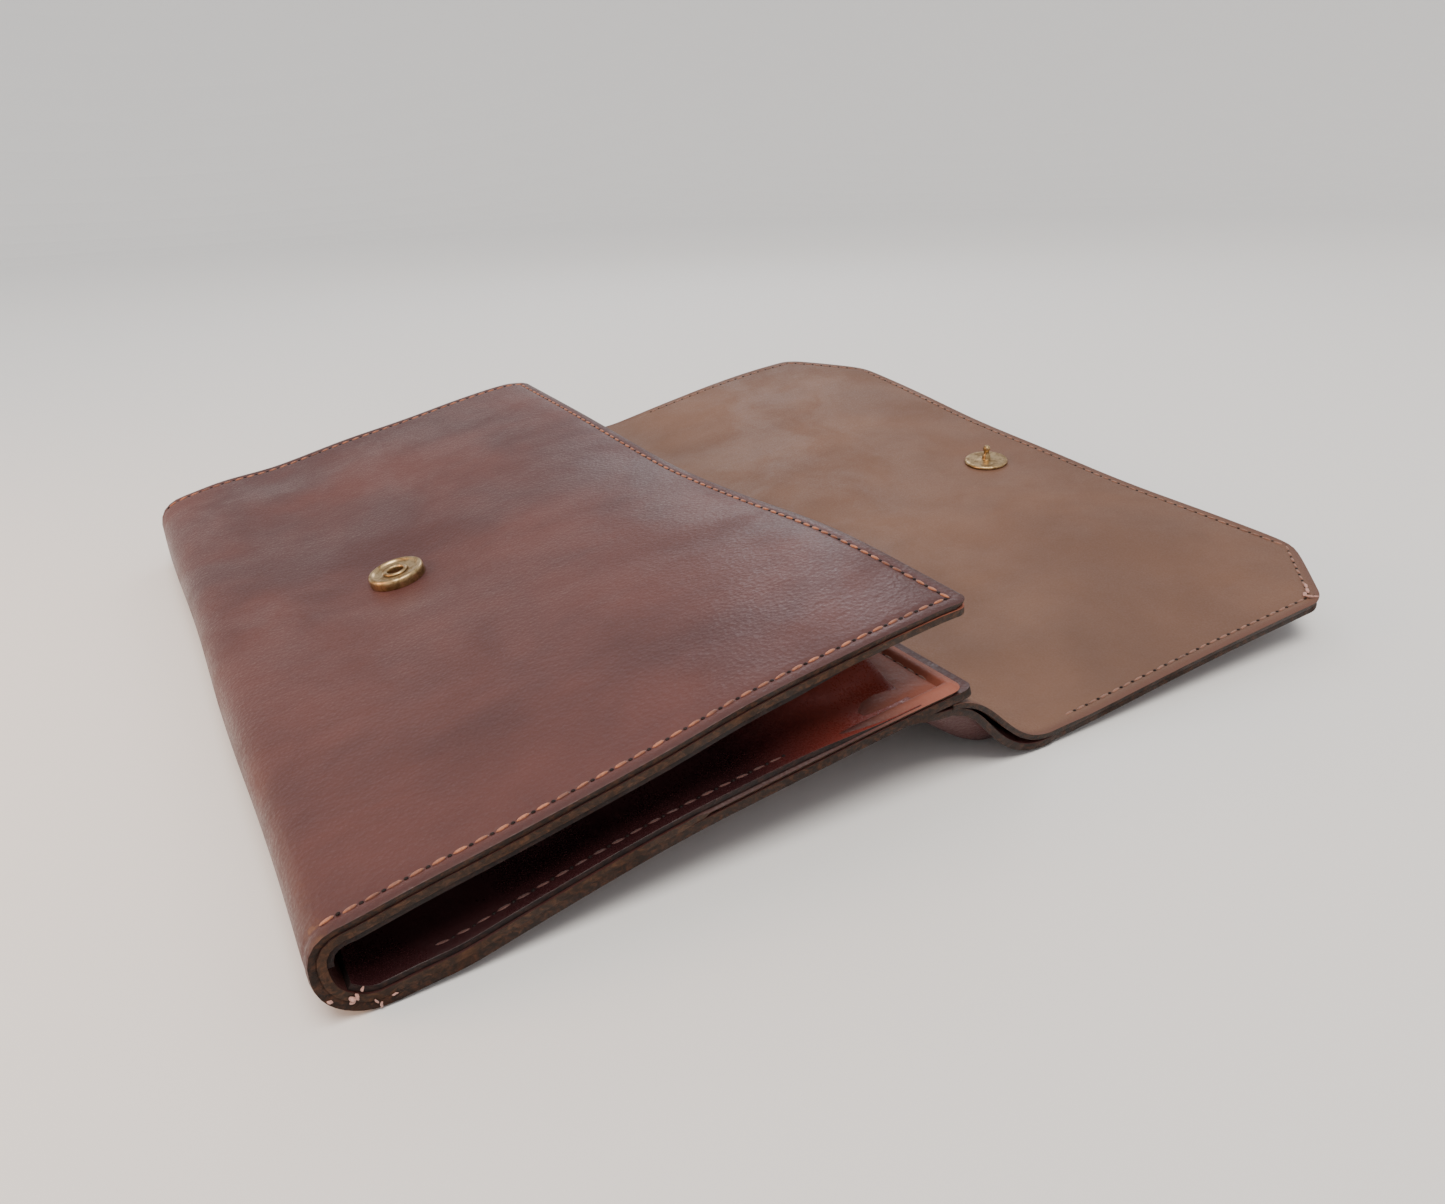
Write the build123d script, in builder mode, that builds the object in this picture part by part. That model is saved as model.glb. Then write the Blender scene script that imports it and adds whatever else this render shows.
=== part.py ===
from build123d import *
import os
from math import cos, radians, sin, tan

# Soft leather pouch for glasses, lying open on its back.
# +X runs along the mouth, +Y from the bottom fold to the flap's free edge, +Z is up.
# The origin is at the middle of the case's length and width, on the surface that it lies on.
# One long piece of leather makes the back, the bottom fold, the front, the hinge strip and the
# flap; it is cut here at the lines where it bends, so that the front and the flap can move.

# ---- driving dimensions, mm and degrees ----
WIDTH = 200.0               # along the mouth
BACK_LENGTH = 101.0         # back panel, from the bottom fold to the mouth
FRONT_LENGTH = 101.5        # front panel, from the bottom fold to the mouth
FOLD_RADIUS = 7.0           # outside of the bottom fold
BACK_RISE = 9.0             # slope of the back panel
FRONT_RISE = 11.5           # slope of the front panel
OUTER = 1.4                 # outer leather
LINING = 1.0                # lining leather
GUSSET = 1.0                # gusset leather
CORNER = 6.0                # rounded corners at the mouth
BACK_LINING_STEP = 2.4      # the back lining stops this far short of the back panel's edge

BODY_GAP = 0.3              # between pieces that move against each other
FIT_GAP = 0.05              # between hardware pieces in one body

HINGE_STEP = 0.5            # from the back panel's edge to the hinge strip
HINGE_TAB = 1.2             # straight ends of the hinge strip
NEAR_CREASE = 19.5          # from the mouth hinge to the flap, at the right side
FAR_CREASE = 28.0           # and at the left side
NEAR_LIFT = 3.0             # height of the flap's lining at the crease, right side
FAR_LIFT = 20.3             # and left side
FLAP_PITCH = 5.7            # slope of the flap along its length
FLAP_LENGTH = 89.5          # from the crease to the free edge, halfway across
FLAP_CHAMFER = 19.0         # cut corners of the flap
FLAP_CORNER = 5.0           # rounding where the cut corners begin
BELLY_SPAN = 80.0           # the hinge leather's sag lifts off over this width, at the left
BELLY_LIFT = 8.5            # and rises this far

SIDE_INSET = 3.0            # of the gusset's flange edge from the panel's edge
FLANGE = 8.0                # width of the gusset's sewn flanges
GUSSET_DEPTH = 7.0          # inward fold of the gusset past its flanges
GUSSET_START = 7.0          # from the bottom fold to the gusset
GUSSET_END = 4.0            # from the gusset to the mouth

SEAM_INSET = 4.0            # thread lines from the leather's edge
THREAD_WIDTH = 0.8
THREAD_HEIGHT = 0.4
KNOT_RADIUS = 0.8
KNOT_HEIGHT = 0.6
TAIL_LENGTH = 6.0

SOCKET_PLACE = 33.0         # snap socket, from the bottom fold along the front
STUD_INSET = 18.0           # snap stud, from the flap's free edge
SNAP_RADIUS = 5.85
SNAP_HEIGHT = 2.2           # socket cap
DISH_DEPTH = 0.5
RIM = 1.0                   # rolled rim of the socket cap
SHEET = 0.4                 # brass sheet
EYELET_BORE = 1.9
EYELET_FLANGE = 0.35        # eyelet's lip beyond its barrel
WASHER_RADIUS = 5.0
WASHER = 0.5
MAGNET = 0.8
PRONG_WIDTH = 2.0
PRONG_PLACE = 3.7
STUD_PLATE = 1.0
POST_BASE = 1.15
POST_NECK = 0.75
POST_HEAD = 0.95
POST_HEIGHT = 4.0

os.makedirs("parts", exist_ok=True)


def save(piece, name):
    """Label a finished piece and write it to its own file."""
    piece.part.label = name
    export_step(piece.part, f"parts/{name}.step")


def slope(angle, distance, normal=0.0):
    """A step along a slope in the side view, and off it along its normal, as (y, z)."""
    along = Vector(0, cos(radians(angle)), sin(radians(angle)))
    off = Vector(0, -sin(radians(angle)), cos(radians(angle)))
    return along * distance + off * normal


# ---- frame: where each panel lies ----
# The side view is laid out from the bottom fold's centre and then moved to the part's origin.
leather = OUTER + LINING
half_width = WIDTH / 2
back_foot = Vector(0, 0, FOLD_RADIUS) + slope(BACK_RISE, 0, -FOLD_RADIUS)
front_foot = Vector(0, 0, FOLD_RADIUS) + slope(FRONT_RISE, 0, FOLD_RADIUS)
mouth_hinge = back_foot + slope(BACK_RISE, BACK_LENGTH + HINGE_STEP / 2, leather / 2)

near_crease = Vector(half_width, mouth_hinge.Y + NEAR_CREASE, NEAR_LIFT)
far_crease = Vector(-half_width, mouth_hinge.Y + FAR_CREASE, FAR_LIFT)
flap_along = slope(FLAP_PITCH, 1)
flap_normal = (near_crease - far_crease).cross(flap_along).normalized()
mid_crease = (near_crease + far_crease) / 2
flap_end = mid_crease + flap_along * FLAP_LENGTH
shift = Vector(0, (FOLD_RADIUS - flap_end.Y) / 2, 0)

fold_centre = (shift.Y, FOLD_RADIUS)
back_plane = Plane(back_foot + shift, x_dir=(1, 0, 0), z_dir=slope(BACK_RISE, 0, 1))
front_plane = Plane(front_foot + shift, x_dir=(1, 0, 0), z_dir=slope(FRONT_RISE, 0, 1))
flap_plane = Plane(flap_end + shift, x_dir=flap_along.cross(flap_normal), z_dir=flap_normal)
socket_plane = Plane(front_plane.from_local_coords((0, SOCKET_PLACE, 0)), (1, 0, 0), front_plane.z_dir)
stud_plane = Plane(flap_plane.from_local_coords((0, -STUD_INSET, 0)), flap_plane.x_dir, flap_normal)

# The flap's outline in its own plane: the free edge is at y = 0 there.
near_start = flap_plane.to_local_coords(near_crease + shift).Y + BODY_GAP
far_start = flap_plane.to_local_coords(far_crease + shift).Y + BODY_GAP
flap_outline = [
    (half_width, near_start),
    (half_width, -FLAP_CHAMFER),
    (half_width - FLAP_CHAMFER, 0),
    (-half_width + FLAP_CHAMFER, 0),
    (-half_width, -FLAP_CHAMFER),
    (-half_width, far_start),
]

# The snap's bore and prong slots, shared by the leather and the hardware.
barrel = EYELET_BORE + SHEET
bore = barrel + FIT_GAP
prong = (SHEET, PRONG_WIDTH)
prong_slot = (SHEET + 2 * FIT_GAP, PRONG_WIDTH + 2 * FIT_GAP)
prong_places = ((-PRONG_PLACE, 0), (PRONG_PLACE, 0))


# ---- pouch: back and bottom fold ----
fold_sweep = 180 + BACK_RISE - FRONT_RISE
seam_side = half_width - SEAM_INSET
back_seam_length = BACK_LENGTH - 4 * SEAM_INSET
back_seam_places = ((-seam_side, BACK_LENGTH / 2), (seam_side, BACK_LENGTH / 2))
with BuildPart() as back_panel:
    with BuildSketch(Plane.YZ) as back_side_view:
        with BuildLine():
            outside = CenterArc(fold_centre, FOLD_RADIUS, 90 + FRONT_RISE, fold_sweep)
            inside = CenterArc(fold_centre, FOLD_RADIUS - OUTER, 90 + FRONT_RISE, fold_sweep)
            edge = [back_plane.from_local_coords((0, BACK_LENGTH, height)) for height in (0, OUTER)]
            Line(outside @ 0, inside @ 0)
            Polyline(outside @ 1, (edge[0].Y, edge[0].Z), (edge[1].Y, edge[1].Z), inside @ 1)
        make_face()
    extrude(amount=half_width, both=True)
    mouth_edges = back_panel.edges().filter_by(Axis.X).group_by(Axis.Y)[-1]
    fillet(mouth_edges, OUTER / 3)
    with BuildSketch(back_plane):
        with Locations(*back_seam_places):
            Rectangle(THREAD_WIDTH + 2 * FIT_GAP, back_seam_length + 2 * FIT_GAP)
    extrude(amount=THREAD_HEIGHT, mode=Mode.SUBTRACT)
save(back_panel, "back_panel")

back_lining_end = BACK_LENGTH - BACK_LINING_STEP
with BuildPart() as back_lining:
    with BuildSketch(back_plane.offset(OUTER)):
        with Locations((0, back_lining_end / 2)):
            Rectangle(WIDTH, back_lining_end)
    extrude(amount=LINING)
    mouth_corners = back_lining.edges().filter_by(Axis(back_plane.origin, back_plane.z_dir))
    fillet(mouth_corners.group_by(Axis.Y)[-1], CORNER)
save(back_lining, "back_lining")


# ---- pouch: front ----
with BuildPart() as front_panel:
    with BuildSketch(front_plane):
        with Locations((0, (FRONT_LENGTH + BODY_GAP) / 2)):
            Rectangle(WIDTH, FRONT_LENGTH - BODY_GAP)
    extrude(amount=-OUTER)
    mouth_corners = front_panel.edges().filter_by(Axis(front_plane.origin, front_plane.z_dir))
    fillet(mouth_corners.group_by(Axis.Y)[-1], CORNER)
    with BuildSketch(socket_plane):
        Circle(bore)
        with Locations(*prong_places):
            Rectangle(*prong_slot)
    extrude(amount=-OUTER, mode=Mode.SUBTRACT)
save(front_panel, "front_panel")

with BuildPart() as front_lining:
    with BuildSketch(front_plane.offset(-OUTER)):
        with Locations((0, (FRONT_LENGTH + BODY_GAP) / 2)):
            Rectangle(WIDTH, FRONT_LENGTH - BODY_GAP)
    extrude(amount=-LINING)
    mouth_corners = front_lining.edges().filter_by(Axis(front_plane.origin, front_plane.z_dir))
    fillet(mouth_corners.group_by(Axis.Y)[-1], CORNER)
    with BuildSketch(socket_plane.offset(-OUTER)):
        Circle(WASHER_RADIUS + FIT_GAP)
    extrude(amount=-WASHER, mode=Mode.SUBTRACT)
save(front_lining, "front_lining")


# ---- pouch: gussets ----
def gusset_section(side, place):
    """The folded gusset's outline at one distance from the bottom fold, as (x, z) pairs."""
    across = back_foot.Y + shift.Y + place
    floor = back_plane.origin.Z + (across - back_plane.origin.Y) * tan(radians(BACK_RISE))
    floor += leather / cos(radians(BACK_RISE))
    roof = front_plane.origin.Z + (across - front_plane.origin.Y) * tan(radians(FRONT_RISE))
    roof -= (leather + BODY_GAP) / cos(radians(FRONT_RISE))
    middle = (floor + roof) / 2
    rim = half_width - SIDE_INSET
    root = rim - FLANGE
    tip = root - GUSSET_DEPTH
    outline = [
        (rim, floor),
        (root, floor),
        (tip, middle),
        (root, roof),
        (rim, roof),
        (rim, roof - GUSSET),
        (root + GUSSET, roof - GUSSET),
        (tip + 2 * GUSSET, middle),
        (root + GUSSET, floor + GUSSET),
        (rim, floor + GUSSET),
    ]
    return across, [(side * x, z) for x, z in outline]


for name, side in (("right_gusset", 1), ("left_gusset", -1)):
    with BuildPart() as gusset:
        for place in (GUSSET_START, BACK_LENGTH - GUSSET_END):
            across, outline = gusset_section(side, place)
            with BuildSketch(Plane((0, across, 0), x_dir=(1, 0, 0), z_dir=(0, -1, 0))):
                with BuildLine():
                    Polyline(*outline, close=True)
                make_face()
        loft(ruled=True)
    save(gusset, name)


# ---- seams of the pouch ----
with BuildPart() as front_seam_thread:
    with BuildSketch(front_plane):
        with Locations((-seam_side, FRONT_LENGTH / 2), (seam_side, FRONT_LENGTH / 2)):
            Rectangle(THREAD_WIDTH, FRONT_LENGTH - 2 * SEAM_INSET + THREAD_WIDTH)
        with Locations((0, FRONT_LENGTH - SEAM_INSET)):
            Rectangle(2 * seam_side + THREAD_WIDTH, THREAD_WIDTH)
    extrude(amount=THREAD_HEIGHT)
save(front_seam_thread, "front_seam_thread")

# The back's thread lies flush in a groove, so that the case rests on plain leather.
with BuildPart() as back_seam_threads:
    with BuildSketch(back_plane):
        with Locations(*back_seam_places):
            Rectangle(THREAD_WIDTH, back_seam_length)
    extrude(amount=THREAD_HEIGHT)
save(back_seam_threads, "back_seam_threads")

with BuildPart() as back_mouth_thread:
    with BuildSketch(back_plane.offset(leather)):
        with Locations((0, back_lining_end - SEAM_INSET / 2)):
            Rectangle(2 * (half_width - SIDE_INSET - FLANGE - THREAD_WIDTH), THREAD_WIDTH)
    extrude(amount=THREAD_HEIGHT)
save(back_mouth_thread, "back_mouth_thread")

with BuildPart() as seam_knots:
    for angle in (135, 160):
        outward = Vector(0, cos(radians(angle)), sin(radians(angle)))
        foot = Vector(seam_side, *fold_centre) + outward * FOLD_RADIUS
        with BuildSketch(Plane(foot, x_dir=(1, 0, 0), z_dir=outward)):
            Circle(KNOT_RADIUS)
        extrude(amount=KNOT_HEIGHT)
save(seam_knots, "seam_knots")


# ---- hinge: the slack leather strip between the mouth and the flap ----
def band(middle_line, thickness):
    """The closed outline of a strip of leather around its middle line, in the side view."""
    upper = []
    lower = []
    last = len(middle_line) - 1
    for place, point in enumerate(middle_line):
        along = middle_line[min(place + 1, last)] - middle_line[max(place - 1, 0)]
        off = Vector(-along.Y, along.X).normalized() * thickness / 2
        upper.append(point + off)
        lower.append(point - off)
    return upper + lower[::-1]


def crease_point(width, depth):
    """A point on the crease at one width, a depth under the flap's lining, as (y, z)."""
    share = (half_width - width) / WIDTH
    point = near_crease + (far_crease - near_crease) * share + shift - flap_normal * depth
    return Vector(point.Y, point.Z)


back_way = Vector(cos(radians(BACK_RISE)), sin(radians(BACK_RISE)))
back_off = Vector(-back_way.Y, back_way.X)
flap_way = Vector(cos(radians(FLAP_PITCH)), sin(radians(FLAP_PITCH)))
belly_edge = -half_width + BELLY_SPAN
hinge_widths = ((half_width, 0.0), (belly_edge, 0.0), (-half_width, BELLY_LIFT))
strip_start = back_plane.from_local_coords((0, BACK_LENGTH + HINGE_STEP, 0))

panel_sections = []
lining_sections = []
for width, lift in hinge_widths:
    start = Vector(strip_start.Y, strip_start.Z) + back_off * (OUTER / 2 - BODY_GAP)
    end = crease_point(width, LINING + OUTER / 2 + FIT_GAP)
    run = end.X - start.X
    belly = lift + OUTER / 2 + FIT_GAP
    panel_sections.append((width, [
        start,
        start + back_way * HINGE_TAB,
        Vector(start.X + 0.26 * run, start.Y + 0.60 * (belly - start.Y)),
        Vector(start.X + 0.46 * run, belly + 0.6),
        Vector(start.X + 0.62 * run, belly),
        Vector(start.X + 0.80 * run, belly + 0.3 * (end.Y - belly)),
        end - flap_way * HINGE_TAB,
        end,
    ]))
    start = Vector(strip_start.Y, strip_start.Z) + back_off * (OUTER + LINING / 2)
    end = crease_point(width, LINING / 2)
    dip = 0.75 * end.Y + 0.25 * (belly + leather)
    lining_sections.append((width, [
        start,
        start + back_way * (HINGE_TAB + leather),
        Vector(start.X + 0.42 * run, dip + 0.42 * (start.Y - dip)),
        Vector(start.X + 0.64 * run, dip),
        Vector(start.X + 0.80 * run, dip + 0.25 * (end.Y - dip)),
        end - flap_way * HINGE_TAB,
        end,
    ]))

for name, sections, thickness in (
    ("hinge_panel", panel_sections, OUTER),
    ("hinge_lining", lining_sections, LINING),
):
    with BuildPart() as hinge_strip:
        for width, middle_line in sections:
            with BuildSketch(Plane.YZ.offset(width)):
                with BuildLine():
                    Polyline(*band(middle_line, thickness), close=True)
                make_face()
        loft(ruled=True)
    save(hinge_strip, name)


# ---- flap ----
with BuildPart() as flap_lining:
    with BuildSketch(flap_plane) as lining_face:
        with BuildLine():
            Polyline(*flap_outline, close=True)
        make_face()
        fillet(lining_face.vertices().sort_by(Axis.Y)[-4:], FLAP_CORNER)
    extrude(amount=-LINING)
    with BuildSketch(stud_plane):
        with Locations(*prong_places):
            Rectangle(*prong_slot)
    extrude(amount=-LINING, mode=Mode.SUBTRACT)
save(flap_lining, "flap_lining")

with BuildPart() as flap_panel:
    with BuildSketch(flap_plane.offset(-LINING)) as panel_face:
        with BuildLine():
            Polyline(*flap_outline, close=True)
        make_face()
        fillet(panel_face.vertices().sort_by(Axis.Y)[-4:], FLAP_CORNER)
    extrude(amount=-OUTER)
    with BuildSketch(stud_plane.offset(-LINING)):
        Circle(WASHER_RADIUS + FIT_GAP)
    extrude(amount=-WASHER, mode=Mode.SUBTRACT)
save(flap_panel, "flap_panel")

# One running stitch goes round the flap; its thread lies on both faces of the leather.
for name, height, amount in (
    ("flap_seam_thread_inside", 0, THREAD_HEIGHT),
    ("flap_seam_thread_outside", -leather, -THREAD_HEIGHT),
):
    with BuildPart() as flap_thread:
        with BuildSketch(flap_plane.offset(height)) as loop:
            with BuildLine():
                Polyline(*flap_outline, close=True)
            make_face()
            fillet(loop.vertices().sort_by(Axis.Y)[-4:], FLAP_CORNER)
            offset(amount=-SEAM_INSET + THREAD_WIDTH / 2, mode=Mode.REPLACE)
            offset(amount=-THREAD_WIDTH, mode=Mode.SUBTRACT)
        extrude(amount=amount)
    save(flap_thread, name)

with BuildPart() as thread_tails:
    with BuildSketch(flap_plane):
        for turn in (-20, 30):
            with Locations(Location((half_width - 2 * SEAM_INSET, -FLAP_CHAMFER, 0), (0, 0, turn))):
                with Locations((-TAIL_LENGTH / 2, 0)):
                    Rectangle(TAIL_LENGTH, THREAD_HEIGHT)
    extrude(amount=THREAD_HEIGHT)
save(thread_tails, "thread_tails")


# ---- snap hardware ----
def side_view(snap_plane):
    """The plane through a snap's axis: x is the radius and y the height over the leather."""
    return Plane(snap_plane.origin, x_dir=snap_plane.x_dir, z_dir=-snap_plane.y_dir)


# Socket on the front: a sheet brass cap over a ring magnet on a pronged plate.
socket_axis = Axis(socket_plane.origin, socket_plane.z_dir)
dish = SNAP_HEIGHT - DISH_DEPTH
with BuildPart() as socket_cap:
    with BuildSketch(side_view(socket_plane)):
        with BuildLine():
            Polyline(
                (bore, dish),
                (SNAP_RADIUS - RIM, dish),
                (SNAP_RADIUS - 0.7 * RIM, SNAP_HEIGHT),
                (SNAP_RADIUS - 0.3 * RIM, SNAP_HEIGHT),
                (SNAP_RADIUS, SNAP_HEIGHT - 0.4 * RIM),
                (SNAP_RADIUS, 0),
                (SNAP_RADIUS - SHEET, 0),
                (SNAP_RADIUS - SHEET, dish - SHEET),
                (bore, dish - SHEET),
                close=True,
            )
        make_face()
    revolve(axis=socket_axis)
save(socket_cap, "socket_cap")

with BuildPart() as socket_eyelet:
    with BuildSketch(socket_plane.offset(-OUTER - WASHER)):
        Circle(barrel)
        Circle(EYELET_BORE, mode=Mode.SUBTRACT)
    extrude(amount=OUTER + WASHER + dish)
    with BuildSketch(socket_plane.offset(dish)):
        Circle(barrel + EYELET_FLANGE)
        Circle(EYELET_BORE, mode=Mode.SUBTRACT)
    extrude(amount=EYELET_FLANGE)
save(socket_eyelet, "socket_eyelet")

with BuildPart() as socket_magnet:
    with BuildSketch(socket_plane.offset(SHEET)):
        Circle(SNAP_RADIUS - SHEET - 2 * FIT_GAP)
        Circle(bore, mode=Mode.SUBTRACT)
    extrude(amount=MAGNET)
save(socket_magnet, "socket_magnet")

with BuildPart() as socket_plate:
    with BuildSketch(socket_plane):
        Circle(SNAP_RADIUS - SHEET - 2 * FIT_GAP)
        Circle(bore, mode=Mode.SUBTRACT)
    extrude(amount=SHEET)
    with BuildSketch(socket_plane):
        with Locations(*prong_places):
            Rectangle(*prong)
    extrude(amount=-OUTER - WASHER)
save(socket_plate, "socket_plate")

with BuildPart() as socket_washer:
    with BuildSketch(socket_plane.offset(-OUTER)):
        Circle(WASHER_RADIUS)
        Circle(bore, mode=Mode.SUBTRACT)
        with Locations(*prong_places):
            Rectangle(*prong_slot, mode=Mode.SUBTRACT)
    extrude(amount=-WASHER)
save(socket_washer, "socket_washer")

# Stud on the flap: a brass plate with a riveted ball post, held by prongs and a washer.
stud_axis = Axis(stud_plane.origin, stud_plane.z_dir)
with BuildPart() as stud_plate:
    with BuildSketch(stud_plane):
        Circle(SNAP_RADIUS)
        Circle(POST_NECK + FIT_GAP, mode=Mode.SUBTRACT)
    extrude(amount=STUD_PLATE)
    fillet(stud_plate.edges().filter_by(GeomType.CIRCLE).sort_by(SortBy.RADIUS)[-1], STUD_PLATE / 2)
    with BuildSketch(stud_plane):
        with Locations(*prong_places):
            Rectangle(*prong)
    extrude(amount=-LINING - WASHER)
save(stud_plate, "stud_plate")

post_top = STUD_PLATE + POST_HEIGHT
neck_low = STUD_PLATE + 0.3 * POST_HEIGHT
head_middle = post_top - POST_HEAD
neck_high = head_middle - (POST_HEAD**2 - POST_NECK**2) ** 0.5
with BuildPart() as stud_post:
    with BuildSketch(side_view(stud_plane)):
        with BuildLine():
            Polyline(
                (0, post_top),
                (0, 0),
                (POST_NECK, 0),
                (POST_NECK, STUD_PLATE),
                (POST_BASE, STUD_PLATE),
                (POST_BASE, neck_low),
                (POST_NECK, neck_low + POST_BASE - POST_NECK),
                (POST_NECK, neck_high),
            )
            ThreePointArc((POST_NECK, neck_high), (POST_HEAD, head_middle), (0, post_top))
        make_face()
    revolve(axis=stud_axis)
save(stud_post, "stud_post")

with BuildPart() as stud_washer:
    with BuildSketch(stud_plane.offset(-LINING)):
        Circle(WASHER_RADIUS)
        with Locations(*prong_places):
            Rectangle(*prong_slot, mode=Mode.SUBTRACT)
    extrude(amount=-WASHER)
save(stud_washer, "stud_washer")
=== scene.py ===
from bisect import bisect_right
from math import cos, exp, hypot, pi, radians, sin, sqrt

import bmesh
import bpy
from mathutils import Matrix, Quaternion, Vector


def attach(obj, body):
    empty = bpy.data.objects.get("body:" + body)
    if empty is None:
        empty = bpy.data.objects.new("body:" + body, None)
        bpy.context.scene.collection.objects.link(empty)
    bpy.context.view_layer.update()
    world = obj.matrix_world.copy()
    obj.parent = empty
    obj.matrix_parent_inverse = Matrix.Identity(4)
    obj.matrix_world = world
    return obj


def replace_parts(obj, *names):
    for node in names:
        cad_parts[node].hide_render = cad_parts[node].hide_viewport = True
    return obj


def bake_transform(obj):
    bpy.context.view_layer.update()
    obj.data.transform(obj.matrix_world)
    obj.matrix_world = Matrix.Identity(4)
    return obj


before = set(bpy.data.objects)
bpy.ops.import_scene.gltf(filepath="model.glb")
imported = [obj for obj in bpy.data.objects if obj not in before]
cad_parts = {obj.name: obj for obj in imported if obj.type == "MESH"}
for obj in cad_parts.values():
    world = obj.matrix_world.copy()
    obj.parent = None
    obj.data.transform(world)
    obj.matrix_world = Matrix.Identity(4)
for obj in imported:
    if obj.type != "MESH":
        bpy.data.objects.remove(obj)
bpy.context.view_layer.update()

# %% [markdown]
# # A soft leather pouch for glasses, lying open
#
# One long piece of glossy leather makes the back, the rounded bottom fold, the front, the hinge and
# the flap. It is lined, its sides are closed by two folded gussets, and a magnetic snap holds the
# flap. The stitches, the knots and the snap ride the CAD bodies `pouch`, `front` and `flap`. Lengths
# in this file are in millimetres and are made metres at the end.

MM = 0.001

# %% [markdown]
# ## Curves and swells
#
# Soft leather is never flat. A few heights are chosen at marks along a line, and a smooth curve runs
# through them; a swell is the same thing in two directions. This gives broad, gentle hollows with
# few numbers, where noise would look like crumpled paper.

# %% Smooth curve through marks, and a smooth step
def smooth(marks, heights, at):
    at = min(max(at, marks[0]), marks[-1])
    i = min(bisect_right(marks, at) - 1, len(marks) - 2)
    step = marks[i + 1] - marks[i]
    before, after = max(i - 1, 0), min(i + 2, len(marks) - 1)
    slope_in = (heights[i + 1] - heights[before]) / (marks[i + 1] - marks[before])
    slope_out = (heights[after] - heights[i]) / (marks[after] - marks[i])
    t = (at - marks[i]) / step
    rise = (2 * t**3 - 3 * t**2 + 1) * heights[i] + (3 * t**2 - 2 * t**3) * heights[i + 1]
    return rise + step * ((t**3 - 2 * t**2 + t) * slope_in + (t**3 - t**2) * slope_out)


def swell(x_marks, marks, heights, x, at):
    return smooth(x_marks, [smooth(marks, line, at) for line in heights], x)


def ease(t):
    t = min(max(t, 0.0), 1.0)
    return t * t * (3 - 2 * t)


def mix(a, b, share):
    return a + (b - a) * share


print("halfway up an even step:", ease(0.5))

# %% [markdown]
# ## The body's line
#
# Seen from its side the body is a flattened U: the back slopes up at 9 degrees, the bottom fold is a
# rounded turn of 7 mm radius, and the front slopes up at 11.5 degrees above it. `body_at` gives a
# point on the outside of that line, `along` mm from where the fold begins: negative on the back,
# then round the fold, then up the front. `depth` goes into the leather.

# %% Body line and its swells
HALF_WIDTH = 100.0
BACK_LENGTH, FRONT_LENGTH = 101.0, 101.5
BACK_SLOPE, FRONT_SLOPE = radians(9.0), radians(11.5)
FOLD_Y, FOLD_Z, FOLD_RADIUS = -103.359, 7.0, 7.0
FOLD_TURN = pi - (FRONT_SLOPE - BACK_SLOPE)
FOLD_ARC = FOLD_RADIUS * FOLD_TURN
OUTER, LINING = 1.4, 1.2
SOCKET_ALONG, SEAM = 33.0, 2.4
SOCKET_SINK = 1.2

BACK_MARKS = [0, 5.7, 11.5, 19, 28, 38, 48, 58, 69, 81, 91, 101]
BACK_SWELL = [0.3, 0.5, 0.8, 0.25, -0.4, -1.0, -1.3, -1.2, -1.0, -0.8, -0.5, -0.1]
FOLD_MARKS = [0, 0.2, 0.4, 0.6, 0.8, 1.0]
FOLD_RIGHT = [0.3, -0.3, -0.3, 0.1, 1.2, 0.8]
FOLD_LEFT = [0.1, 0.5, 1.0, 2.0, 3.6, 3.7]
FRONT_X = [-100, -60, -20, 0, 30, 65, 100]
FRONT_MARKS = [0, 10, 25, 45, 62, 80, 95, 101.5]
FRONT_SWELL = [
    [3.7, 3.8, 2.6, 2.9, 2.9, 3.1, 2.4, 0.8],
    [3.1, 2.8, 1.9, 2.2, 2.4, 2.2, 1.0, -0.6],
    [2.5, 1.8, 0.6, 1.0, 1.4, 0.8, -1.0, -2.2],
    [2.2, 1.4, 0.2, 0.6, 1.2, 0.5, -1.5, -2.6],
    [1.8, 1.3, 0.6, 0.9, 1.4, 1.0, -0.4, -1.4],
    [1.3, 1.3, 1.2, 1.5, 2.0, 1.9, 1.4, 0.8],
    [0.8, 1.0, 0.8, 0.9, 1.8, 1.5, 0.6, -0.2],
]


def ripple(x, v):
    on_the_left = ease((-25 - x) / 40) * ease(v / 18) * ease((82 - v) / 40)
    long_folds = 0.38 * sin(x / 6.1 + 0.012 * v) * on_the_left
    return long_folds + 0.14 * sin(x / 17 + v / 23) + 0.1 * sin(v / 9.5 - x / 31)


def body_swell(x, along):
    if along < 0:
        share = 0.3 + 0.7 * ease(x / 80)
        return share * smooth(BACK_MARKS, BACK_SWELL, -along) + 0.1 * sin(x / 13 + along / 19)
    left = (HALF_WIDTH - x) / (2 * HALF_WIDTH)
    if along <= FOLD_ARC:
        turn = along / FOLD_ARC
        fold = mix(smooth(FOLD_MARKS, FOLD_RIGHT, turn), smooth(FOLD_MARKS, FOLD_LEFT, turn), left)
        return fold + 0.3 * sin(x / 15) * sin(pi * turn) ** 2
    v = along - FOLD_ARC
    near_snap = ease((hypot(x, v - SOCKET_ALONG) - 6.5) / 17)
    free = swell(FRONT_X, FRONT_MARKS, FRONT_SWELL, x, v) + ripple(x, v)
    return mix(-SOCKET_SINK, free, near_snap)


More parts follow.
